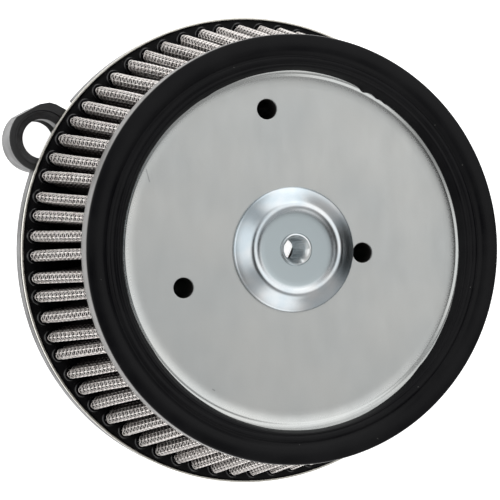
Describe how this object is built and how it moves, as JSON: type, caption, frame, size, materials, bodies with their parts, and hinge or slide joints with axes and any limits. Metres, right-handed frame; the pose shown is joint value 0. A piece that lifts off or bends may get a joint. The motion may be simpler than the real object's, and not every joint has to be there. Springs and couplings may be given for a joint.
{
  "type": "motorcycle air filter assembly",
  "caption": "Round tapered pleated wire-mesh air filter with a steel front plate and rubber ring, seated on a cast backing plate with two breather ears.",
  "frame": {"origin": "on the filter's axis, at the rear mounting plane of the backing plate", "axes": "+Z out of the front plate along the filter's axis, +Y up as fitted (towards the breather ears), +X to the right seen from the front"},
  "size_m": [0.1764, 0.1716, 0.0793],
  "materials": {
    "black_casting": "semi-gloss black over cast aluminium",
    "seal_rubber": "smooth black",
    "foam_rubber": "matte black closed-cell",
    "spacer_aluminium": "turned",
    "pan_steel": "zinc plated",
    "potting": "cast, semi-gloss",
    "wire_mesh": "woven stainless wire",
    "filter_gauze": "dark cotton gauze",
    "zinc_steel": "satin zinc plate",
    "bright_zinc": "bright blue-white zinc plate",
    "ring_rubber": "moulded, semi-gloss black"
  },
  "bodies": {
    "backing": {"backing_plate": "black_casting", "intake_oring": "seal_rubber", "seat_gasket": "foam_rubber", "breather_seal_left": "seal_rubber", "breather_seal_right": "seal_rubber", "breather_washer_left": "seal_rubber", "breather_washer_right": "seal_rubber", "screw_spacer_top": "spacer_aluminium", "screw_spacer_left": "spacer_aluminium", "screw_spacer_right": "spacer_aluminium"},
    "element": {"rear_end_pan": "pan_steel", "rear_potting": "potting", "outer_mesh": "wire_mesh", "filter_media": "filter_gauze", "inner_mesh": "wire_mesh", "front_plate": "zinc_steel", "front_ring": "ring_rubber", "boss_cup": "bright_zinc", "cover_insert": "bright_zinc"}
  },
  "joints": [
    {"name": "element_lift", "type": "slide", "parent": "backing", "child": "element", "axis": [0, 0, 1], "range_m": [0, 0.08]}
  ]
}
